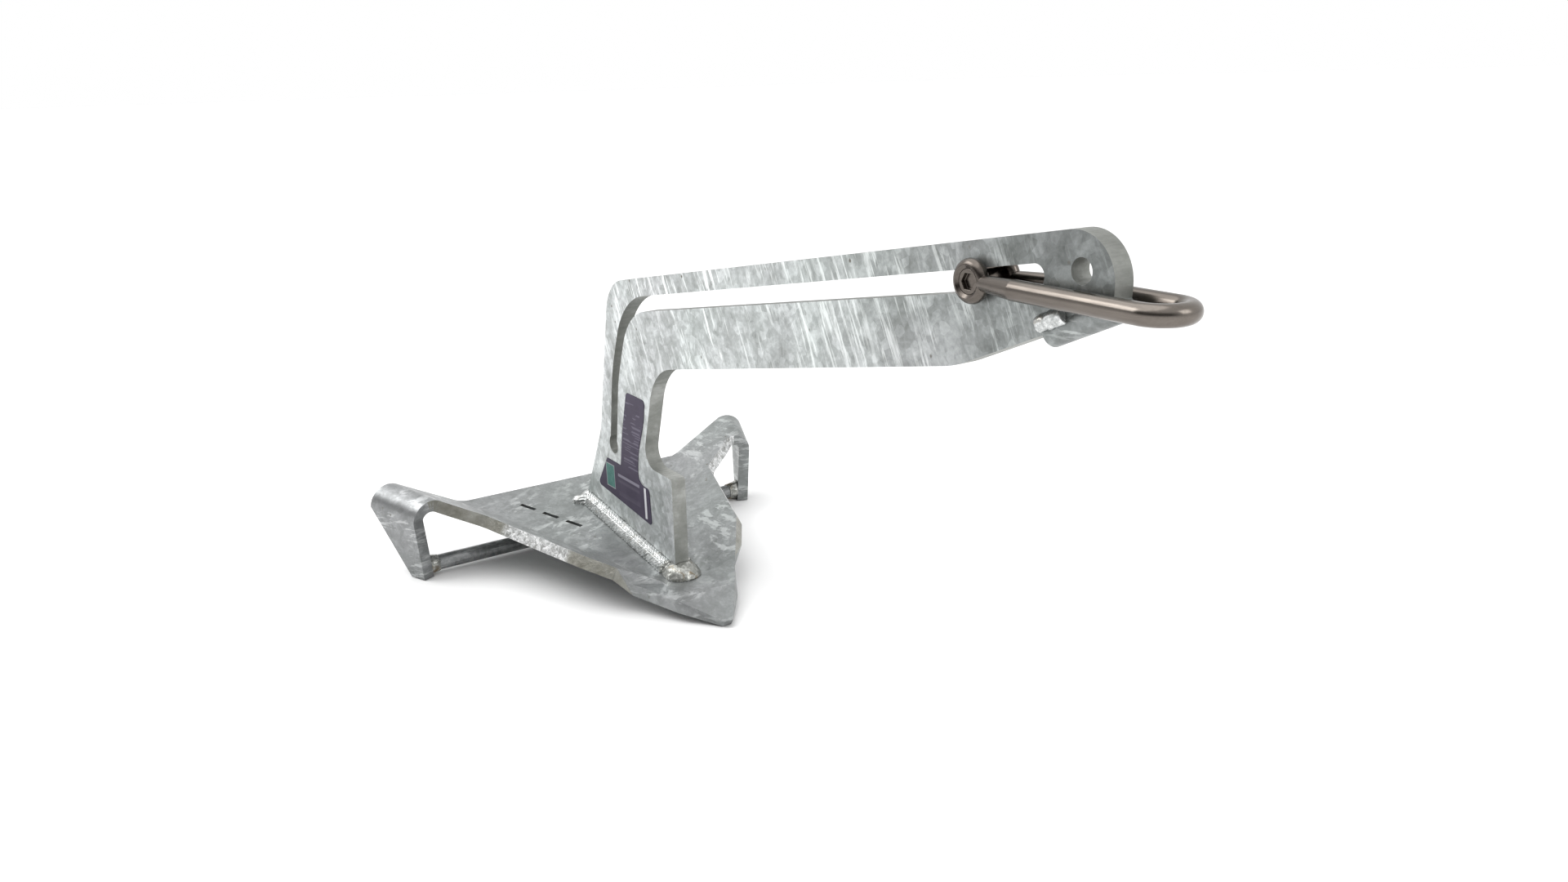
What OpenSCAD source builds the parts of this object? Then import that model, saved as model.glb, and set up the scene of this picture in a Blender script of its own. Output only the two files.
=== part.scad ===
// Plow anchor: a folded plate fluke, a slotted gooseneck shank and a long D shackle that runs in the slot.
// +X is forward, towards the tip and the shackle. +Y is left. +Z is up. It stands on its tip and two fins.

/* [Shank] */
// Thickness of the shank plate
shank_t = 12; // [10:0.5:14]
// Upward slope of the slot and the arm's top edge as drawn, in degrees
arm_slope = 11; // [10:0.25:12]
// Width of the slot
slot_w = 11.7; // [11:0.1:13]
// Width of the strap of plate above the slot
strap_w = 13.8; // [11:0.2:16]
// Diameter of the hole in the nose
nose_hole_d = 12.5; // [8:0.5:14]

/* [Fluke] */
// Thickness of the fluke plate
plate_t = 10; // [8:0.5:12]
// Half the length of the straight trailing edge
trail_y = 107; // [100:1:115]
// Fold of the wing panels above the centre panel, in degrees
fold = 30.3; // [26:0.5:34]
// Outer radius of the bend between a wing arm and its fin
bend_r = 16; // [13:0.5:20]
// Angle that the plate turns through at that bend, in degrees
bend_turn = 121.6; // [115:0.5:125]
// Nose-down pitch of the centre panel as drawn, in degrees
pitch = 5.9; // [5:0.1:7]
// Height of the trailing edge's top as drawn
trail_z = 44.2; // [43:0.1:45]
// Further nose-down turn that puts the tip and both fins on the ground, in degrees
settle = 1.23; // [0.8:0.01:1.6]

/* [Bars and welds] */
// Diameter of the crossbar between the fins
crossbar_d = 13; // [10:0.5:14]
// Diameter of the round bar under the nose
nose_bar_d = 14.2; // [13:0.2:15]
// Radius of the fillet weld along the shank's foot
foot_weld_r = 9; // [6:0.5:10]

/* [Shackle] */
// Diameter of the shackle's rod
rod_d = 10.4; // [10:0.1:10.6]
// Distance of each leg's centre line from the middle
leg_y = 12.9; // [12.8:0.1:14]
// Length from the pin to the centre of the bow's round end
leg_len = 105.6; // [100:1:112]
// Diameter of the shackle pin
pin_d = 10; // [8:0.5:11]
// Outer diameter of the shackle's eyes
eye_d = 23; // [20:0.5:24]
// Thickness of the shackle's eyes
eye_t = 7.8; // [7:0.1:9]

/* [Hidden] */
$fn = 64;
zinc = [0.70, 0.72, 0.71];
bright_weld = [0.82, 0.83, 0.83];
stainless = [0.62, 0.56, 0.52];
big = 600;
arc_step = 6;

// Slot: the middle of its front end, and its lower end in the leg
slot_front = [579.5, 316.1];
slot_low = [106.9, 106.5];
keyhole_r = 7.8;
slot_bend_x = 143;
along = [cos(arm_slope), sin(arm_slope)];
across = [-sin(arm_slope), cos(arm_slope)];

// Pin centre at rest, as a distance back from the slot's front end
pin_back = 39.2;
pin_at = slot_front - pin_back * along;
leg_rise = 0.94;

// Nose bar: its axis starts under the arm and rises along the nose's lower edge
bar_slope = 25.6;
bar_start = [586.7, 289.3];
nose_bar_len = 46;

// Fluke: points of the folded plate in the centre panel's own frame, where its top is z = 0
panel_front = [216, 16.1];
crease = atan((trail_y - panel_front[1]) / panel_front[0]);
arm_len = 54.5;
fin_len = 58;
ramp_foot = [213, 46.5, 6.2];
tip_root = [241.3, 29, 4.1];
tip_root_low = [250, 26.6, -6];
tip_end = [280.5, 3.6, -4.3];
tip_end_low = [277.8, 3.6, -9.7];

// Where the crossbar's axis crosses
crossbar_x = 38;
crossbar_z = 9.3;

// The anchor is drawn in one upright plane, then turned by the settle angle and lifted on to the ground
function turned(q) = [q[0] * cos(settle) + q[1] * sin(settle), q[1] * cos(settle) - q[0] * sin(settle)];
function drawn(q) = [q[0] * cos(pitch) + q[2] * sin(pitch), trail_z + q[2] * cos(pitch) - q[0] * sin(pitch)];
lift = -turned(drawn(tip_end_low))[1];
// The whole anchor is centred front to back on the origin
rear_x = -2.2;
front_x = turned(pin_at)[0] + leg_len + leg_y + rod_d / 2;
mid_x = (rear_x + front_x) / 2;

function unit(v) = v / norm(v);
function rev(list) = [for (i = [len(list) - 1:-1:0]) list[i]];
function turn(a) = a > 180 ? a - 360 : (a < -180 ? a + 360 : a);
// Points that round the corner at p, between its neighbours a and b, with radius r
function corner(a, p, b, r) =
    r <= 0 ? [p] :
    let (d1 = unit(a - p), d2 = unit(b - p), half = acos(d1 * d2) / 2,
        c = p + unit(d1 + d2) * r / sin(half), t = r / tan(half),
        s = p + d1 * t - c, e = p + d2 * t - c, from = atan2(s[1], s[0]),
        sweep = turn(atan2(e[1], e[0]) - from), n = max(1, ceil(abs(sweep) / arc_step)))
    [for (i = [0:n]) c + r * [cos(from + sweep * i / n), sin(from + sweep * i / n)]];
// A closed outline of [x, z, radius] corners, and an open path of the same
function xz(q) = [q[0], q[1]];
function rounded(q) = let (n = len(q))
    [for (i = [0:n - 1]) each corner(xz(q[(i + n - 1) % n]), xz(q[i]), xz(q[(i + 1) % n]), q[i][2])];
function path(q) = let (n = len(q))
    [for (i = [0:n - 1]) each (i == 0 || i == n - 1) ? [xz(q[i])] :
        corner(xz(q[i - 1]), xz(q[i]), xz(q[i + 1]), q[i][2])];
// The edge that lies d to the left of a path
function beside(p, d) = let (n = len(p))
    [for (i = [0:n - 1]) let (a = p[max(0, i - 1)], b = p[min(n - 1, i + 1)], u = unit(b - a))
        p[i] + d * [-u[1], u[0]]];
function arm_point(s, n) = slot_front + s * along + n * across;
function plate_top(x) = trail_z - x * tan(pitch);

// Moves a child from the centre panel's frame to the drawing frame
module stand() {
    translate([0, 0, trail_z])
        rotate([0, pitch, 0])
            children();
}
module placed() {
    translate([-mid_x, 0, lift])
        rotate([0, settle, 0])
            children();
}
module below_ground() {
    translate([-big, -big, -big])
        cube([2 * big, 2 * big, big]);
}
// Stands an outline in the XZ plane, with thickness t, centred on y
module upright(t, y = 0) {
    translate([0, y, 0])
        rotate([90, 0, 0])
            linear_extrude(t, center = true)
                children();
}

// ---- Shank ----
top_n = slot_w / 2 + strap_w;
top_rear = arm_point(-470.5, top_n);
nose_top = arm_point(53, top_n);
shank_outline = [
    [43, plate_top(43), 0], [83, 114, 60], [top_rear[0], top_rear[1], 38],
    [nose_top[0], nose_top[1], 23], [626.8, 307.4, 9], [526, 261.6, 70], [186.6, 188, 46],
    [160.1, 104, 14], [207.5, 104, 3], [207.5, plate_top(207.5), 0]];
slot_bend = arm_point(-(slot_front[0] - slot_bend_x) / along[0], 0);
slot_path = path([[slot_low[0], slot_low[1], 0], [117.5, 168, 120],
    [slot_bend[0], slot_bend[1], 60], [slot_front[0], slot_front[1], 0]]);

module slot_shape() {
    polygon(concat(beside(slot_path, slot_w / 2), rev(beside(slot_path, -slot_w / 2))));
    translate(slot_front)
        circle(d = slot_w);
    translate(slot_low)
        circle(r = keyhole_r);
}
module nose_bar_space(d) {
    translate([bar_start[0], 0, bar_start[1]])
        rotate([0, 90 - bar_slope, 0])
            cylinder(d = d, h = nose_bar_len);
}
module shank_plate() {
    difference() {
        upright(shank_t)
            difference() {
                polygon(rounded(shank_outline));
                slot_shape();
            }
        translate([607.6, 0, 322.2])
            rotate([90, 0, 0])
                cylinder(d = nose_hole_d, h = 2 * shank_t, center = true);
        nose_bar_space(nose_bar_d);
    }
}
module shank() {
    color(zinc) placed() shank_plate();
}

// ---- Fluke ----
cu = [cos(crease), -sin(crease), 0];
out = [sin(crease), cos(crease), 0];
cv = out * cos(fold) + [0, 0, sin(fold)];
cw = -out * sin(fold) + [0, 0, cos(fold)];
// A point of the wing: u along the crease, s out along the top face, and depth into the plate
bend_len = bend_r * bend_turn * PI / 180;
function wing_vw(s, depth) =
    s <= arm_len ? [s, -depth] :
    let (a = min(bend_turn, (s - arm_len) / bend_r * 180 / PI), k = max(0, s - arm_len - bend_len),
        r = bend_r - depth)
    [arm_len + r * sin(a) + k * cos(a), -bend_r + r * cos(a) - k * sin(a)];
function wing(u, s, depth) = let (q = wing_vw(s, depth)) [0, trail_y, 0] + u * cu + q[0] * cv + q[1] * cw;
// The leading edge of the panel as [u, s], from the ramp to the arm, and the arm's and fin's two edges
lead = concat([[206, 34], [175.4, 39.8]], path([[175.4, 39.8], [60, 29.5, 14], [37, 48.5, 20], [27, 54.5]]));
bend_steps = 12;
rows = concat([for (i = [0:bend_steps]) arm_len + bend_len * i / bend_steps], [arm_len + bend_len + fin_len]);
function row_front(s) = lookup(s, [[arm_len, 27], [arm_len + bend_len, 22.5], [arm_len + bend_len + fin_len, 30]]);
function row_rear(s) = lookup(s, [[arm_len, -26.5], [arm_len + bend_len, -31], [arm_len + bend_len + fin_len, 17]]);
// Joined faces share a mitred lower corner along the crease
mitre = -plate_t * ([0, 0, 1] + cw) / (1 + cw[2]);
trail_top = [0, trail_y, 0];
front_top = [panel_front[0], panel_front[1], 0];
half_top = concat([trail_top, front_top, ramp_foot, tip_root, tip_end],
    [for (q = lead) wing(q[0], q[1], 0)],
    [for (s = rows) each [wing(row_front(s), s, 0), wing(row_rear(s), s, 0)]]);
half_low = concat([trail_top + mitre, front_top + mitre, ramp_foot - [0, 0, plate_t],
        tip_root_low, tip_end_low],
    [for (q = lead) wing(q[0], q[1], plate_t)],
    [for (s = rows) each [wing(row_front(s), s, plate_t), wing(row_rear(s), s, plate_t)]]);
n_half = len(half_top);
first_lead = 5;
first_row = first_lead + len(lead);
last_row = n_half - 2;
// The wing panel is a fan of triangles from its rear inner corner, because its front edge is hollow
wing_rim = concat([1], [for (i = [first_lead:first_row - 1]) i], [first_row + 1]);
half_faces = concat([[1, 2, first_lead], [1, 3, 2]],
    [for (i = [0:len(wing_rim) - 2]) [0, wing_rim[i], wing_rim[i + 1]]],
    [for (i = [first_row:2:last_row - 2]) [i + 1, i, i + 2, i + 3]]);
middle_faces = [[n_half, n_half + 1, 1, 0], [n_half + 1, n_half + 3, 3, 1], [n_half + 3, n_half + 4, 4, 3]];
edge_left = concat([4, 3, 2], [for (i = [first_lead:first_row - 1]) i],
    [for (i = [first_row + 2:2:last_row]) i], [for (i = [last_row + 1:-2:first_row + 1]) i], [0]);
loop = concat(edge_left, [for (i = rev(edge_left)) i + n_half]);

module folded_plate() {
    flip = [[1, 0, 0], [0, -1, 0], [0, 0, 1]];
    top = concat(half_top, [for (p = half_top) flip * p]);
    low = concat(half_low, [for (p = half_low) flip * p]);
    n = len(top);
    upper = concat(half_faces, [for (f = half_faces) [for (i = rev(f)) i + n_half]], middle_faces);
    sides = [for (i = [0:len(loop) - 1]) let (a = loop[i], b = loop[(i + 1) % len(loop)]) [a, b, b + n, a + n]];
    polyhedron(points = concat(top, low),
        faces = concat([for (f = upper) rev(f)], [for (f = upper) [for (i = f) i + n]], sides));
}
// Three plain slots through the near side of the centre panel
module marking_slots() {
    for (i = [0:2])
        translate([38 + 24 * i, -60 + 11 * i, 0])
            rotate([0, 0, 25])
                cube([17, 3.8, 3 * plate_t], center = true);
}
module fluke() {
    color(zinc)
        difference() {
            placed() stand()
                difference() {
                    folded_plate();
                    marking_slots();
                }
            below_ground();
        }
}

// ---- Crossbar ----
// Everything beyond the inner face of one fin
module beyond_fin(side) {
    stand()
        translate([0, side * trail_y, 0])
            rotate([0, 0, -side * crease])
                rotate([side * fold, 0, 0])
                    translate([0, side * arm_len, -bend_r])
                        rotate([-side * bend_turn, 0, 0])
                            translate([-big / 2, -big / 2, bend_r - plate_t])
                                cube([big, big, big]);
}
module crossbar_rod(d, h) {
    translate([crossbar_x, 0, crossbar_z])
        rotate([90, 0, 0])
            cylinder(d = d, h = h, center = true);
}
module crossbar() {
    color(zinc) placed()
        difference() {
            crossbar_rod(crossbar_d, 340);
            beyond_fin(1);
            beyond_fin(-1);
        }
}
module crossbar_weld(side) {
    collar = 9;
    color(bright_weld)
        difference() {
            placed()
                difference() {
                    translate([crossbar_x, side * 170, crossbar_z])
                        rotate([side * 90, 0, 0])
                            cylinder(d1 = crossbar_d + 11, d2 = crossbar_d + 1, h = 170 - 153 + collar);
                    crossbar_rod(crossbar_d, 400);
                    beyond_fin(side);
                }
            below_ground();
        }
}

// ---- Nose bar and its welds ----
module nose_bar() {
    color(zinc) placed()
        nose_bar_space(nose_bar_d);
}
// Each bead lies in the corner between the bar and the shank, just under a resting leg
nose_weld_r = 4.5;
nose_weld_len = 17;
module nose_weld(side) {
    color(bright_weld) placed()
        difference() {
            translate([bar_start[0], side * shank_t / 2, bar_start[1]])
                rotate([0, 90 - bar_slope, 0])
                    translate([2 - nose_bar_d / 2, 0, 0])
                        cylinder(r = nose_weld_r, h = nose_weld_len);
            nose_bar_space(nose_bar_d);
            upright(shank_t)
                square([2 * big, big]);
        }
}

// ---- Welds at the shank's foot ----
weld_from = 52;
weld_to = 199;
module above_plate(x0, x1) {
    translate([x0, -big / 2, 0])
        cube([x1 - x0, big, big]);
}
module shank_weld(side) {
    color(bright_weld) placed() stand()
        intersection() {
            translate([weld_from, side * shank_t / 2, 0])
                rotate([0, 90, 0])
                    cylinder(r = foot_weld_r, h = weld_to - weld_from);
            translate([0, side > 0 ? shank_t / 2 : -shank_t / 2 - big, 0])
                cube([big, big, big]);
        }
}
// Everything above the short ramp in front of the centre panel
module above_ramp() {
    rise = atan(tip_root[2] / (tip_root[0] - panel_front[0]));
    translate([panel_front[0], 0, 0])
        rotate([0, -rise, 0])
            translate([-big, -big / 2, 0])
                cube([2 * big, big, big]);
}
module weld_lump(x, r, sink, x0, x1) {
    color(bright_weld) placed()
        difference() {
            stand()
                intersection() {
                    translate([x, 0, -sink])
                        sphere(r = r);
                    above_plate(x0, x1);
                    above_ramp();
                }
            upright(shank_t)
                polygon(rounded(shank_outline));
        }
}
module shank_weld_toe() {
    weld_lump(207, 17, 6, weld_to, 240);
}
module shank_weld_heel() {
    weld_lump(49, 16, 7, 20, weld_from);
}

// ---- Shackle ----
module at_pin() {
    translate([pin_at[0], 0, pin_at[1]])
        rotate([0, -leg_rise, 0])
            children();
}
eye_in = 6.4;
eye_out = eye_in + eye_t;
neck_from = 8;
neck_to = 32;
neck_r = 4;
head_d = 13;
head_t = 3.5;
head_sunk = 1.4;
chamfer_d = 16.5;
pin_play = 0.05;
hex_d = 9.2;
module across_pin(d, y0, y1, d_end = 0) {
    translate([0, y1, 0])
        rotate([90, 0, 0])
            cylinder(d1 = d, d2 = d_end > 0 ? d_end : d, h = y1 - y0);
}
module eye(side) {
    translate([0, side * (eye_in + eye_t / 2), 0])
        rotate([90, 0, 0]) {
            rotate_extrude()
                translate([(eye_d - eye_t) / 2, 0])
                    circle(d = eye_t);
            cylinder(d = eye_d - eye_t, h = eye_t, center = true);
        }
}
// Each leg narrows and steps in to meet its eye
module leg(side) {
    step = leg_y - eye_in - neck_r;
    run = neck_to - neck_from;
    translate([neck_from, side * (eye_in + neck_r), 0])
        rotate([0, 90, side * atan(step / run)])
            cylinder(r1 = neck_r, r2 = rod_d / 2, h = norm([run, step]));
    translate([neck_to, side * leg_y, 0]) {
        sphere(d = rod_d);
        rotate([0, 90, 0])
            cylinder(d = rod_d, h = leg_len - neck_to);
    }
}
module shackle_bow() {
    color(stainless) placed() at_pin()
        difference() {
            union() {
                for (side = [-1, 1]) {
                    leg(side);
                    eye(side);
                }
                translate([leg_len, 0, 0])
                    rotate([0, 0, -90])
                        rotate_extrude(angle = 180)
                            translate([leg_y, 0])
                                circle(d = rod_d);
            }
            across_pin(pin_d + 2 * pin_play, -big, big);
            across_pin(head_d + 2 * pin_play, -big, head_t + head_sunk - eye_out + 2 * pin_play);
            across_pin(head_d + 2 * pin_play, -eye_out - 0.01, head_sunk - eye_out, chamfer_d);
        }
}
module shackle_pin() {
    color(stainless) placed() at_pin()
        difference() {
            union() {
                across_pin(pin_d, head_sunk - eye_out, eye_out);
                across_pin(head_d, head_sunk - eye_out, head_sunk - eye_out + head_t);
            }
            translate([0, head_sunk - eye_out - 1, 0])
                rotate([-90, 0, 0])
                    cylinder(d = hex_d, h = 3.4, $fn = 6);
        }
}

// ---- Label ----
module label() {
    thick = 0.4;
    edge = [[92.7, 91, 2], [118.7, 91, 2], [124.5, 120, 60], [136.5, 158.7, 4], [168.5, 158.7, 4],
        [164.8, 140, 40], [152, 110, 60], [149, 84.5, 9], [168.5, 84.5, 4], [170.5, 53.5, 3], [72, 62, 3]];
    color([0.23, 0.17, 0.34]) placed()
        upright(thick, -(shank_t + thick) / 2)
            polygon(rounded(edge));
}

fluke();
shank();
crossbar();
nose_bar();
shackle_bow();
shackle_pin();
label();
shank_weld(1);  // shank_weld_left
shank_weld(-1);  // shank_weld_right
shank_weld_toe();
shank_weld_heel();
crossbar_weld(1);  // crossbar_weld_left
crossbar_weld(-1);  // crossbar_weld_right
nose_weld(1);  // nose_weld_left
nose_weld(-1);  // nose_weld_right
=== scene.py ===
import math

import bmesh
import bpy
from mathutils import Matrix, Vector, noise


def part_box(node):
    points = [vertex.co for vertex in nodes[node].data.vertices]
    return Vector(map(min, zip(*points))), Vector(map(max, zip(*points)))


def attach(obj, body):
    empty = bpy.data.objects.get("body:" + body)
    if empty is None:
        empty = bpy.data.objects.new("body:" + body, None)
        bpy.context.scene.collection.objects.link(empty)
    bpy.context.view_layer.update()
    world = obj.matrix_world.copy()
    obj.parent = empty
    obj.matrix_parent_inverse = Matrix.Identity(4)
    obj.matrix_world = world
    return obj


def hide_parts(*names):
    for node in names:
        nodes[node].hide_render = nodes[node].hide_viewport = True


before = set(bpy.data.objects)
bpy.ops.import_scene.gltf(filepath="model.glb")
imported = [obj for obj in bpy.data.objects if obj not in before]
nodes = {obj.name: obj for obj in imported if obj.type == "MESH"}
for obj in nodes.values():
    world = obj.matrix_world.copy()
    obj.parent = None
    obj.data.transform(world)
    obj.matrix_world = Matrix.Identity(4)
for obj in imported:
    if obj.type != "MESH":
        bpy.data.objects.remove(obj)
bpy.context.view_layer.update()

MM = 0.001
# How far the fluke's centre panel, with the foot's welds, and the shank's arm slope from level
PANEL_PITCH = math.radians(7.13)
ARM_SLOPE = math.radians(9.77)
# How far each crease turns from the anchor's length, and how far its wing folds up
CREASE_TURN = math.radians(22.82)
WING_FOLD = math.radians(30.3)


# ---------- Node helpers ----------
class Shader:
    """A material's node tree, with short ways to add and join nodes."""

    def __init__(self, name):
        self.mat = bpy.data.materials.new(name)
        self.mat.use_nodes = True
        self.tree = self.mat.node_tree
        self.bsdf = self.tree.nodes["Principled BSDF"]
        self.point = self.node("ShaderNodeTexCoord").outputs["Object"]

    def node(self, kind, **settings):
        n = self.tree.nodes.new(kind)
        for key, value in settings.items():
            setattr(n, key, value)
        return n

    def put(self, socket, value):
        if isinstance(value, bpy.types.NodeSocket):
            self.tree.links.new(value, socket)
        else:
            socket.default_value = value

    def mapped(self, scale=(1, 1, 1), turn=(0, 0, 0)):
        """The object's coordinates, turned and then stretched."""
        spin = self.node("ShaderNodeMapping")
        self.put(spin.inputs["Vector"], self.point)
        spin.inputs["Rotation"].default_value = turn
        n = self.node("ShaderNodeMapping")
        self.put(n.inputs["Vector"], spin.outputs["Vector"])
        n.inputs["Scale"].default_value = scale
        return n.outputs["Vector"]

    def noise(self, scale, detail=4.0, rough=0.55, warp=0.0, vector=None):
        n = self.node("ShaderNodeTexNoise")
        self.put(n.inputs["Vector"], vector or self.point)
        n.inputs["Scale"].default_value = scale
        n.inputs["Detail"].default_value = detail
        n.inputs["Roughness"].default_value = rough
        n.inputs["Distortion"].default_value = warp
        return n.outputs["Fac"]

    def cells(self, scale, out="Distance"):
        n = self.node("ShaderNodeTexVoronoi", feature="F1")
        self.put(n.inputs["Vector"], self.point)
        n.inputs["Scale"].default_value = scale
        return n.outputs[out]

    def ramp(self, fac, *stops):
        """A colour ramp. Each stop is (place, grey level) or (place, colour)."""
        n = self.node("ShaderNodeValToRGB")
        self.put(n.inputs["Fac"], fac)
        bar = n.color_ramp.elements
        while len(bar) < len(stops):
            bar.new(0.5)
        for e, (at, value) in zip(bar, stops):
            e.position = at
            e.color = (*value, 1) if isinstance(value, tuple) else (value, value, value, 1)
        return n.outputs["Color"]

    def mix(self, fac, a, b, blend="MIX"):
        n = self.node("ShaderNodeMix", data_type="RGBA", blend_type=blend)
        colours = [s for s in n.inputs if s.type == "RGBA"]
        self.put(n.inputs[0], fac)
        self.put(colours[0], (*a, 1) if isinstance(a, tuple) else a)
        self.put(colours[1], (*b, 1) if isinstance(b, tuple) else b)
        return n.outputs[2]

    def maths(self, op, a, b=0.0, clamp=False):
        n = self.node("ShaderNodeMath", operation=op, use_clamp=clamp)
        self.put(n.inputs[0], a)
        self.put(n.inputs[1], b)
        return n.outputs[0]

    def axis(self, name):
        n = self.node("ShaderNodeSeparateXYZ")
        self.put(n.inputs[0], self.point)
        return n.outputs[name]

    def step(self, value, start, slope):
        """0 below start, then rising by slope for each metre, up to 1."""
        return self.maths("MULTIPLY", self.maths("SUBTRACT", value, start), slope, True)

    def bump(self, height, distance, strength, under=None):
        n = self.node("ShaderNodeBump")
        self.put(n.inputs["Height"], height)
        n.inputs["Distance"].default_value = distance
        n.inputs["Strength"].default_value = strength
        if under:
            self.put(n.inputs["Normal"], under)
        return n.outputs["Normal"]

    def done(self, color, rough, metal, normal=None, **more):
        self.put(self.bsdf.inputs["Base Color"], (*color, 1) if isinstance(color, tuple) else color)
        self.put(self.bsdf.inputs["Roughness"], rough)
        self.bsdf.inputs["Metallic"].default_value = metal
        if normal:
            self.put(self.bsdf.inputs["Normal"], normal)
        for key, value in more.items():
            self.bsdf.inputs[key.replace("_", " ")].default_value = value
        return self.mat


# ---------- Materials ----------
ZINC_DARK, ZINC_MID, ZINC_LIGHT = (0.27, 0.28, 0.275), (0.42, 0.432, 0.436), (0.66, 0.675, 0.685)
ZINC_STREAK = (0.93, 0.94, 0.95)
ZINC_GREEN = (0.88, 0.945, 0.90)
ZINC_PIT = (0.13, 0.12, 0.10)
EDGE_DARK, EDGE_MID, EDGE_LIGHT = (0.24, 0.25, 0.23), (0.36, 0.37, 0.345), (0.55, 0.56, 0.54)
# Where the lumps on the fluke's leading edge start and stop, ahead of its trailing edge
LUMPS_START = 0.098
LUMPS_END = 0.163
STEEL_DARK, STEEL_LIGHT = (0.10, 0.087, 0.077), (0.20, 0.178, 0.158)


def toned(colour, tone):
    return tuple(c * tone for c in colour)


def zinc(name, streak_turn, tone, streaks, spread=0.13, fade=None, low=None):
    """Hot-dip galvanised zinc: cloudy patches, fine crystals, bright streaks, pits and a low bump.

    streak_turn turns the streaks, and streaks is their strength. tone scales the colours, and a
    smaller spread gives more contrast.
    fade is (x0, x1, tone): from x0 to x1 the streaks die out and the colour falls to that tone, as
    painted shade.
    low is (z0, z1, share): below z0 the streaks keep that share of their strength, above z1 all.
    """
    s = Shader(name)
    clouds = s.noise(22, 5, 0.62, 0.6)
    patches = s.noise(70, 4, 0.6, 1.2)
    crystal = s.cells(190, "Color")
    fine = s.noise(420, 3, 0.6)
    scratch = s.noise(1, 4, 0.7, 0.3, s.mapped((22, 60, 300), streak_turn))
    wide = s.noise(1, 3, 0.6, 0.7, s.mapped((13, 20, 44), streak_turn))
    level = s.mix(0.42, clouds, patches)
    level = s.mix(0.16, level, crystal)
    level = s.mix(0.16, level, fine)
    base = s.ramp(level, (0.50 - spread, toned(ZINC_DARK, tone)), (0.5, toned(ZINC_MID, tone)),
                  (0.5 + spread, toned(ZINC_LIGHT, tone)))
    lines = s.maths("MULTIPLY", s.ramp(scratch, (0.51, 0.0), (0.59, 1.0)),
                    s.ramp(wide, (0.46, 0.0), (0.55, 1.0)))
    amount = s.maths("MULTIPLY", lines, streaks)
    if fade:
        x0, x1, end = fade
        gone = s.step(s.axis("X"), x0, 1 / (x1 - x0))
        amount = s.maths("MULTIPLY", amount, s.ramp(gone, (0.0, 1.0), (1.0, 0.15)))
        # Painted shade: the colour darkens along x, down to the given tone at x1
        shade = s.ramp(gone, (0.0, 1.0), (0.45, 0.86), (1.0, end))
        base = s.mix(1.0, base, shade, "MULTIPLY")
    if low:
        z0, z1, share = low
        above = s.step(s.axis("Z"), z0, 1 / (z1 - z0))
        amount = s.maths("MULTIPLY", amount, s.ramp(above, (0.0, share), (1.0, 1.0)))
    base = s.mix(amount, base, ZINC_STREAK)
    green = s.ramp(s.noise(9, 3, 0.5), (0.36, 0.0), (0.64, 0.55))
    tint = s.mix(green, base, ZINC_GREEN, "MULTIPLY")
    pits = s.ramp(s.cells(95), (0.06, 0.0), (0.14, 1.0))
    sparse = s.ramp(s.noise(40, 2), (0.57, 1.0), (0.63, 0.0))
    spots = s.maths("MAXIMUM", pits, sparse)
    colour = s.mix(spots, ZINC_PIT, tint)
    rough = s.ramp(s.mix(0.5, patches, fine), (0.30, 0.50), (0.70, 0.32))
    normal = s.bump(s.mix(0.5, clouds, patches), 0.9 * MM, 0.35)
    normal = s.bump(fine, 0.10 * MM, 0.45, normal)
    normal = s.bump(scratch, 0.10 * MM, 0.35, normal)
    return s.done(colour, rough, 0.72, normal)


def cut_edge(name, turn, tone):
    """The same zinc over a flame-cut edge: duller, with fine drag lines across the thickness."""
    s = Shader(name)
    drag = s.noise(1, 4, 0.7, 0.2, s.mapped((700, 60, 60), turn))
    clouds = s.noise(30, 4, 0.6, 0.5)
    fine = s.noise(500, 3)
    level = s.mix(0.35, clouds, drag)
    base = s.ramp(level, (0.33, toned(EDGE_DARK, tone)), (0.52, toned(EDGE_MID, tone)),
                  (0.68, toned(EDGE_LIGHT, tone)))
    rough = s.ramp(fine, (0.3, 0.58), (0.7, 0.42))
    normal = s.bump(drag, 0.30 * MM, 0.5)
    normal = s.bump(fine, 0.15 * MM, 0.5, normal)
    return s.done(base, rough, 0.65, normal)


def rough_edge(name):
    """The fluke's leading edge: bright lumps behind the corner, darker and smoother beyond it."""
    s = Shader(name)
    lumps = s.noise(260, 4, 0.7, 0.8)
    grain = s.noise(900, 3, 0.6)
    along = s.axis("X")
    bright = s.ramp(lumps, (0.39, (0.32, 0.325, 0.315)), (0.50, (0.56, 0.57, 0.57)),
                    (0.61, (0.86, 0.865, 0.865)))
    dull = s.ramp(s.noise(60, 4, 0.6), (0.35, (0.20, 0.195, 0.165)), (0.65, (0.34, 0.34, 0.31)))
    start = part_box("fluke")[0].x
    smooth = s.step(along, start + LUMPS_END, 200.0)
    # On the right wing the lumps stop short of its arm, and on the left wing they run on along it
    right = s.maths("MULTIPLY", s.axis("Y"), -1000.0, True)
    arm = s.maths("MULTIPLY", s.maths("SUBTRACT", start + LUMPS_START, along), 120.0, True)
    smooth = s.maths("MAXIMUM", smooth, s.maths("MULTIPLY", arm, right))
    colour = s.mix(smooth, bright, dull)
    rough = s.ramp(grain, (0.3, 0.52), (0.7, 0.32))
    normal = s.bump(lumps, 0.8 * MM, 0.7)
    normal = s.bump(grain, 0.25 * MM, 0.6, normal)
    return s.done(colour, rough, 0.7, normal)


# The foot beads' ripples: the distance between them, and how far each chevron leans back
RIPPLE = 3.8 * MM
LEAN = 0.75
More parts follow.
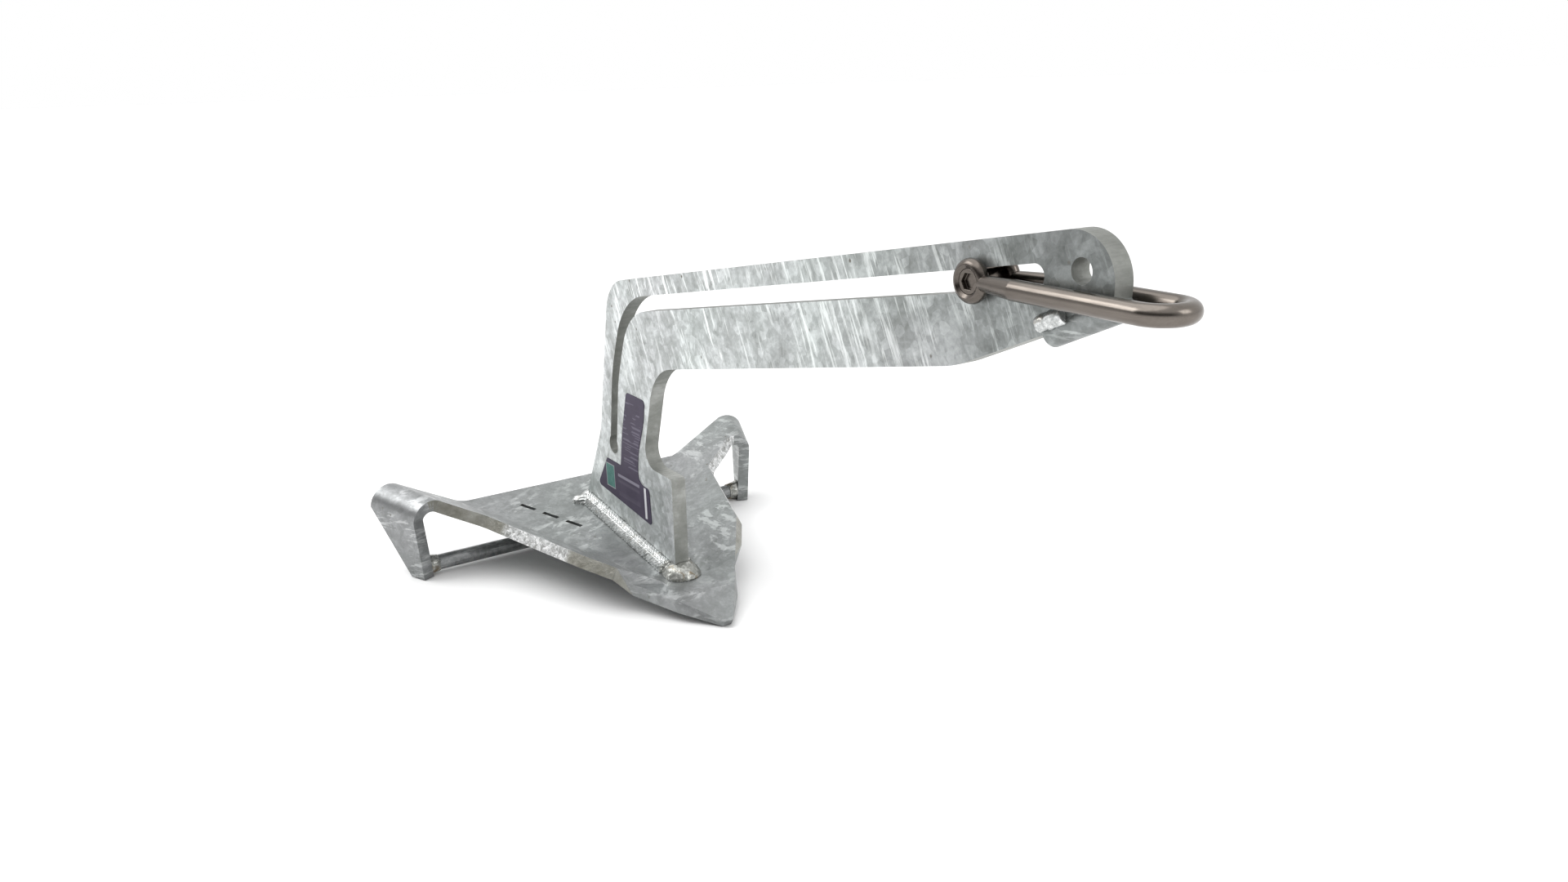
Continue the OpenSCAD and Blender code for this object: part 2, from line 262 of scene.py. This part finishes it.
# The foot beads' corner line: where it starts at the heel, and how fast it falls towards the toe
BEAD_RISE = 8.9 * MM
bead_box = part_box("shank_weld_left")
foot_x, foot_z = bead_box[0].x, bead_box[1].z - BEAD_RISE
foot_fall = math.tan(PANEL_PITCH)


def weld_metal(name, brown, body=(0.46, 0.475, 0.47), top=(0.86, 0.875, 0.87), chevrons=False):
    """Bright weld bead under zinc, with brown slag spots.

    With chevrons it has painted shade, a dark line in the hollow of each ripple, as foot_ripple
    shapes them.
    """
    s = Shader(name)
    fine = s.noise(700, 4, 0.65)
    flow = s.noise(150, 4, 0.6, 1.0)
    base = s.ramp(s.mix(0.5, fine, flow), (0.32, (0.22, 0.23, 0.22)), (0.47, body), (0.64, top))
    if chevrons:
        up = s.maths("ADD", s.axis("Z"), s.maths("MULTIPLY", s.axis("X"), foot_fall))
        out = s.maths("ABSOLUTE", s.axis("Y"))
        crown = foot_z + foot_x * foot_fall - 4 * MM
        middle = s.maths("ABSOLUTE", s.maths("SUBTRACT", s.maths("SUBTRACT", up, out), crown))
        phase = s.maths("ADD", s.axis("X"), s.maths("MULTIPLY", middle, LEAN))
        waver = s.maths("MULTIPLY", s.noise(160, 2), 1.1)
        phase = s.maths("ADD", s.maths("DIVIDE", phase, RIPPLE), waver)
        wave = s.maths("ABSOLUTE", s.maths("SINE", s.maths("MULTIPLY", phase, math.pi)))
        # Painted shade: a dark line in the hollow of each ripple of the bead
        base = s.mix(s.ramp(wave, (0.10, 0.80), (0.55, 0.0)), base, (0.13, 0.135, 0.13))
    spots = s.maths("MULTIPLY", s.ramp(s.noise(95, 3, 0.6, 0.6), (0.56, 0.0), (0.66, 1.0)), brown)
    base = s.mix(spots, base, (0.20, 0.155, 0.095))
    rough = s.ramp(fine, (0.3, 0.40), (0.7, 0.22))
    normal = s.bump(fine, 0.08 * MM, 0.5)
    return s.done(base, rough, 0.8, normal)


def stainless(name):
    """Polished stainless steel, with soft brown-grey clouds and hair-fine polishing lines."""
    s = Shader(name)
    cloud = s.noise(16, 3, 0.5)
    hair = s.noise(1, 3, 0.7, 0.0, s.mapped((60, 900, 900)))
    base = s.ramp(s.mix(0.25, cloud, hair), (0.32, STEEL_DARK), (0.68, STEEL_LIGHT))
    rough = s.ramp(hair, (0.3, 0.27), (0.7, 0.19))
    normal = s.bump(hair, 0.02 * MM, 0.25)
    return s.done(base, rough, 1.0, normal)


def label_film(name):
    """Indigo printed film with plain bars, a teal panel and a white strip. It has no words."""
    s = Shader(name)
    lo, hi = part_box("label")
    x, z = s.axis("X"), s.axis("Z")

    def span(socket, a, b, edge=0.4 * MM):
        up = s.maths("MULTIPLY", s.maths("SUBTRACT", socket, a), 1 / edge, True)
        down = s.maths("MULTIPLY", s.maths("SUBTRACT", b, socket), 1 / edge, True)
        return s.maths("MULTIPLY", up, down)

    def patch(x0, x1, z0, z1):
        return s.maths("MULTIPLY", span(z, z0, z1), span(x, x0, x1))

    def bars(scale, start, end):
        """Straight stripes with soft edges, from noise that is stretched along them."""
        return s.ramp(s.noise(1, 0, 0.5, 0.0, s.mapped(scale)), (start, 0.0), (end, 1.0))

    def printed(base, share, where, ink):
        return s.mix(s.maths("MULTIPLY", where, share), base, ink)

    cloud = s.noise(60, 3)
    base = s.ramp(cloud, (0.3, (0.036, 0.026, 0.052)), (0.7, (0.052, 0.040, 0.072)))
    rows = s.maths("MULTIPLY", bars((70, 1, 190), 0.46, 0.50), bars((0.01, 1, 520), 0.50, 0.54))
    stem = patch(lo.x + 0.052, lo.x + 0.086, lo.z + 0.040, hi.z - 0.006)
    base = printed(base, 0.14, s.maths("MULTIPLY", rows, stem), (0.50, 0.48, 0.60))
    foot = patch(lo.x + 0.038, hi.x - 0.018, lo.z + 0.010, lo.z + 0.030)
    wide = bars((0.01, 1, 300), 0.50, 0.53)
    base = printed(base, 0.30, s.maths("MULTIPLY", wide, foot), (0.60, 0.58, 0.68))
    rim = patch(lo.x + 0.0152, lo.x + 0.0318, lo.z + 0.0132, lo.z + 0.0348)
    base = printed(base, 0.5, rim, (0.55, 0.58, 0.58))
    panel = patch(lo.x + 0.016, lo.x + 0.031, lo.z + 0.014, lo.z + 0.034)
    teal = s.ramp(s.noise(240, 3), (0.35, (0.045, 0.145, 0.130)), (0.65, (0.075, 0.200, 0.175)))
    base = s.mix(panel, base, teal)
    strip = patch(hi.x - 0.0105, hi.x - 0.0065, lo.z + 0.003, lo.z + 0.030)
    base = s.mix(strip, base, (0.62, 0.62, 0.65))
    normal = s.bump(cloud, 0.10 * MM, 0.2)
    return s.done(base, 0.5, 0.0, normal, Specular_IOR_Level=0.25)


# ---------- Mesh helpers ----------
# Faces that meet at less than this are one flat face
FLAT = math.radians(0.4)


def bevelled(bm, edges, width, segments):
    bmesh.ops.bevel(bm, geom=edges, offset=width, offset_type="OFFSET", segments=segments,
                    profile=0.5, affect="EDGES", clamp_overlap=True)


def face_angle(edge):
    """How far the two faces at an edge turn from flat, or 0 where there aren't two."""
    return edge.calc_face_angle(0) if len(edge.link_faces) == 2 else 0


def finish_piece(name, bm, body, materials, stands_for):
    """Makes the visible object, on its body, in place of the CAD nodes that it stands for."""
    mesh = bpy.data.meshes.new(name)
    bm.to_mesh(mesh)
    bm.free()
    for m in materials:
        mesh.materials.append(m)
    obj = bpy.data.objects.new(name, mesh)
    bpy.context.collection.objects.link(obj)
    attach(obj, body)
    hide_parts(*stands_for)
    return obj


def copied(*names):
    """One bmesh with copies of these CAD nodes' meshes, with their flat faces made whole."""
    bm = bmesh.new()
    for n in names:
        bm.from_mesh(nodes[n].data)
    bmesh.ops.remove_doubles(bm, verts=bm.verts, dist=2e-6)
    bmesh.ops.dissolve_limit(bm, angle_limit=FLAT, verts=bm.verts, edges=bm.edges)
    return bm


def eased(bm, width, corner=24, segments=3):
    """Rounds every edge that is sharper than corner degrees."""
    bevelled(bm, [e for e in bm.edges if face_angle(e) > math.radians(corner)], width, segments)
    for f in bm.faces:
        f.smooth = True


def weighted(obj):
    """Keeps flat faces flat where they meet a rounded edge."""
    m = obj.modifiers.new("even_normals", "WEIGHTED_NORMAL")
    m.keep_sharp = True
    m.weight = 80


def drop_pockets(bm, fewest=50):
    """Deletes the tiny closed pockets that a voxel remesh can leave inside."""
    left = set(bm.verts)
    small = []
    for start in bm.verts:
        if start not in left:
            continue
        left.discard(start)
        group, stack = [], [start]
        while stack:
            v = stack.pop()
            group.append(v)
            for e in v.link_edges:
                other = e.other_vert(v)
                if other in left:
                    left.discard(other)
                    stack.append(other)
        if len(group) < fewest:
            small += group
    bmesh.ops.delete(bm, geom=small, context="VERTS")


def remeshed(bm, voxel):
    """A closed even mesh over the union of everything in bm."""
    mesh = bpy.data.meshes.new("work")
    bm.to_mesh(mesh)
    bm.free()
    obj = bpy.data.objects.new("work", mesh)
    bpy.context.collection.objects.link(obj)
    mod = obj.modifiers.new("voxels", "REMESH")
    mod.mode = "VOXEL"
    mod.voxel_size = voxel
    view = bpy.context.evaluated_depsgraph_get()
    done = bpy.data.meshes.new_from_object(obj.evaluated_get(view))
    bpy.data.objects.remove(obj)
    out = bmesh.new()
    out.from_mesh(done)
    drop_pockets(out)
    for f in out.faces:
        f.smooth = True
    return out


def pushed(bm, rule):
    """Moves each point along its normal by rule(point)."""
    bm.normal_update()
    moves = [(v, v.normal * rule(v.co)) for v in bm.verts]
    for v, m in moves:
        v.co += m
    bm.normal_update()


# ---------- Camera, floor and lights ----------
# The camera that matches the photo: its place, and which way its right side and its back point
CAMERA_AT = (0.63928, -0.40488, 0.39450)
CAMERA_RIGHT = (0.55745, 0.8298, -0.02611)
CAMERA_BACK = (0.79721, -0.52623, 0.29588)
CAMERA_LENS = 26.84
# The floor lies just under the lowest bump of the welds
FLOOR_Z = -0.6 * MM
FLOOR_HALF = 60
# The side that the studio's dark card is on, and its colour
CARD_SIDE = (0.45, -0.89, 0)
CARD_COLOUR = (0.10, 0.095, 0.09)


def add_camera():
    cam = bpy.data.cameras.new("camera")
    cam.sensor_width = 36
    cam.lens = CAMERA_LENS
    cam.clip_start = 0.01
    obj = bpy.data.objects.new("camera", cam)
    bpy.context.collection.objects.link(obj)
    right = Vector(CAMERA_RIGHT).normalized()
    back = Vector(CAMERA_BACK)
    back = (back - back.dot(right) * right).normalized()
    up = back.cross(right)
    turn = Matrix((right, up, back)).transposed().to_4x4()
    obj.matrix_world = Matrix.Translation(CAMERA_AT) @ turn
    bpy.context.scene.camera = obj


def add_area(name, place, aim, size, power):
    light = bpy.data.lights.new(name, "AREA")
    light.shape = "RECTANGLE"
    light.size = light.size_y = size
    light.energy = power
    obj = bpy.data.objects.new(name, light)
    facing = (Vector(aim) - Vector(place)).to_track_quat("-Z", "Y").to_matrix().to_4x4()
    obj.matrix_world = Matrix.Translation(place) @ facing
    bpy.context.collection.objects.link(obj)


def add_floor():
    bm = bmesh.new()
    bmesh.ops.create_grid(bm, x_segments=8, y_segments=8, size=FLOOR_HALF)
    mesh = bpy.data.meshes.new("floor")
    bm.to_mesh(mesh)
    bm.free()
    obj = bpy.data.objects.new("floor", mesh)
    obj.location.z = FLOOR_Z
    bpy.context.collection.objects.link(obj)
    s = Shader("floor_white")
    mesh.materials.append(s.done(s.ramp(s.noise(3, 2), (0.3, 0.90), (0.7, 0.92)), 0.9, 0.0))


def add_world():
    """A white studio with one soft dark card above the horizon, for the polished rods' streaks."""
    world = bpy.data.worlds.new("studio")
    bpy.context.scene.world = world
    world.use_nodes = True
    tree = world.node_tree
    way = tree.nodes.new("ShaderNodeTexCoord").outputs["Generated"]

    def ramp(source, stops):
        n = tree.nodes.new("ShaderNodeValToRGB")
        tree.links.new(source, n.inputs["Fac"])
        while len(n.color_ramp.elements) < len(stops):
            n.color_ramp.elements.new(0.5)
        for element, (at, colour) in zip(n.color_ramp.elements, stops):
            element.position = at
            element.color = (*colour, 1)
        return n.outputs["Color"]

    facing = tree.nodes.new("ShaderNodeVectorMath")
    facing.operation = "DOT_PRODUCT"
    facing.inputs[1].default_value = CARD_SIDE
    tree.links.new(way, facing.inputs[0])
    height = tree.nodes.new("ShaderNodeSeparateXYZ")
    tree.links.new(way, height.inputs[0])
    card = tree.nodes.new("ShaderNodeMath")
    card.operation = "MULTIPLY"
    none, full = (0, 0, 0), (1, 1, 1)
    sideways = ramp(facing.outputs["Value"], ((0.05, none), (0.65, full)))
    upwards = ramp(height.outputs["Z"], ((0.05, none), (0.20, full), (0.45, full), (0.75, none)))
    tree.links.new(sideways, card.inputs[0])
    tree.links.new(upwards, card.inputs[1])
    shade = ramp(card.outputs[0], ((0.0, (1, 1, 1)), (1.0, CARD_COLOUR)))
    tree.links.new(shade, tree.nodes["Background"].inputs["Color"])
    tree.nodes["Background"].inputs["Strength"].default_value = 1.0


def add_overhead():
    """A very wide soft light from above, which leaves only a faint shadow under the anchor."""
    sky = bpy.data.lights.new("overhead", "SUN")
    sky.energy = 1.35
    sky.angle = math.radians(70)
    obj = bpy.data.objects.new("overhead", sky)
    towards = Vector((-0.35, -0.25, 1.0))
    obj.matrix_world = towards.to_track_quat("Z", "Y").to_matrix().to_4x4()
    bpy.context.collection.objects.link(obj)


add_camera()
add_floor()
add_world()
add_overhead()
add_area("key", (-1.1, -1.2, 1.5), (-0.1, 0, 0.15), 1.0, 12)
add_area("front", (1.7, 0.8, 1.3), (0, 0, 0.15), 0.9, 6)
bpy.context.scene.view_settings.view_transform = "Standard"

# ---------- Fluke ----------
# The long creases between the centre panel and the wings are rounded more than the cut edges
CREASE_ANGLE = (0.45, 0.6)
CREASE_LENGTH = 150 * MM
CREASE_Y = 115 * MM
CREASE_RADIUS = 6 * MM
# The leading edges end inside this distance from the middle; beyond it the wing bends down
WING_BEND_Y = 0.15


def is_crease(edge):
    low, high = CREASE_ANGLE
    a, b = edge.verts
    return (low < face_angle(edge) < high and edge.calc_length() > CREASE_LENGTH
            and abs(a.co.y + b.co.y) < 2 * CREASE_Y)


def is_leading_edge(face):
    """Whether a face is square to its wing's panel and faces forward."""
    side = 1 if face.center.y > 0 else -1
    outward = Vector((math.sin(CREASE_TURN), side * math.cos(CREASE_TURN), 0))
    panel = -outward * math.sin(WING_FOLD) + Vector((0, 0, math.cos(WING_FOLD)))
    panel.rotate(Matrix.Rotation(PANEL_PITCH, 3, "Y"))
    return (abs(face.normal.dot(panel)) < 0.08 and face.normal.x > 0.15 and face.area > 2e-6
            and abs(face.center.y) < WING_BEND_Y)


fluke_zinc = zinc("fluke_zinc", (0, PANEL_PITCH, math.radians(35)), 0.58, 0.30, spread=0.22)
bm = copied("fluke")
bm.normal_update()
bevelled(bm, [e for e in bm.edges if is_crease(e)], CREASE_RADIUS, 6)
eased(bm, 1.3 * MM, 30)
fluke = finish_piece("fluke_plate", bm, "anchor", [fluke_zinc, rough_edge("fluke_edge")],
                     ["fluke"])
for f in fluke.data.polygons:
    if is_leading_edge(f):
        f.material_index = 1
weighted(fluke)

# ---------- Shank ----------
# The shank's colour carries painted shade that darkens it towards its nose
face_zinc = zinc("shank_zinc", (0, math.radians(-64), 0), 1.08, 1.0, fade=(-0.04, 0.27, 0.42),
                 low=(0.12, 0.24, 0.25))
edge_zinc = cut_edge("shank_edge", (0, -ARM_SLOPE, 0), 0.74)
bm = copied("shank")
eased(bm, 0.9 * MM)
shank = finish_piece("shank_plate", bm, "anchor", [face_zinc, edge_zinc], ["shank"])
for f in shank.data.polygons:
    f.material_index = 0 if abs(f.normal.y) > 0.8 else 1
weighted(shank)

# ---------- Round bars ----------
bar_zinc = zinc("bar_zinc", (0, 0, math.radians(90)), 0.55, 0.3)
for name, piece in (("crossbar", "crossbar_rod"), ("nose_bar", "nose_bar_round")):
    bm = copied(name)
    eased(bm, 0.8 * MM, 40)
    weighted(finish_piece(piece, bm, "anchor", [bar_zinc], [name]))

# ---------- Welds ----------
# The lumps where each bead starts at the heel: side, distance from the middle and radius in mm
HEEL_LUMPS = ((-1, 17, 5.5), (-1, 12, 6.5), (1, 16, 5.5), (1, 12, 6.5))
SHANK_HALF = 6 * MM
# The foot beads carry painted shade in the hollows of their ripples
bead = weld_metal("weld_bead", 0.25, chevrons=True)
fillet = weld_metal("weld_fillet", 0.4)
slag = weld_metal("weld_slag", 0.95, (0.27, 0.275, 0.255), (0.58, 0.585, 0.56))
foot = ["shank_weld_left", "shank_weld_right", "shank_weld_toe", "shank_weld_heel"]
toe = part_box("shank_weld_toe")
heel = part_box("shank_weld_heel")
bm = copied(*foot)
for side, out, size in HEEL_LUMPS:
    at = Vector((heel[1].x - (out - 10) * 0.6 * MM, side * out * MM, heel[0].z + 0.5 * MM))
    bmesh.ops.create_icosphere(bm, subdivisions=3, radius=size * MM,
                               matrix=Matrix.Translation(at))
bm = remeshed(bm, 0.7 * MM)


def foot_ripple(p):
    """Chevron ripples along the beads, with a groove at their corner, and lumps at their ends."""
    up = p.z - (foot_z - (p.x - foot_x) * foot_fall)
    out = abs(p.y) - SHANK_HALF
    across = math.atan2(max(up, 0), max(out, 0.1 * MM))
    lump = 0.55 * MM * noise.noise(p * 110) + 0.25 * MM * noise.noise(p * 300)
    if p.x > toe[0].x + 1 * MM or p.x < heel[1].x - 1 * MM:
        return lump
    phase = (p.x + LEAN * abs(up - out - 2 * MM)) / RIPPLE + 0.5 * noise.noise(p * 160)
    ripple = abs(math.sin(phase * math.pi)) ** 0.5
    groove = math.exp(-(((across - 1.0) / 0.09) ** 2))
    return 1.1 * MM * (ripple - 0.7) - 0.9 * MM * groove + 0.5 * lump


pushed(bm, foot_ripple)
welds = finish_piece("foot_welds", bm, "anchor", [bead, slag], foot)
for f in welds.data.polygons:
    f.material_index = 1 if f.center.x > toe[0].x - 2 * MM else 0


def small_ripple(p):
    wave = math.sin(p.x / (1.1 * MM) + 4 * noise.noise(p * 150))
    return 0.5 * MM * noise.noise(p * 210) + 0.2 * MM * wave


for name, metal in (("crossbar_weld_left", slag), ("crossbar_weld_right", slag),
                    ("nose_weld_left", fillet), ("nose_weld_right", fillet)):
    bm = remeshed(copied(name), 0.5 * MM)
    pushed(bm, small_ripple)
    finish_piece(name + "_bead", bm, "anchor", [metal], [name])

# ---------- Shackle and label ----------
steel = stainless("shackle_steel")
for name, piece, body in (("shackle_bow", "shackle_bow_forged", "bow"),
                          ("shackle_pin", "shackle_pin_turned", "pin")):
    bm = copied(name)
    eased(bm, 0.35 * MM, 32, 2)
    weighted(finish_piece(piece, bm, body, [steel], [name]))
nodes["label"].data.materials.clear()
nodes["label"].data.materials.append(label_film("label_print"))
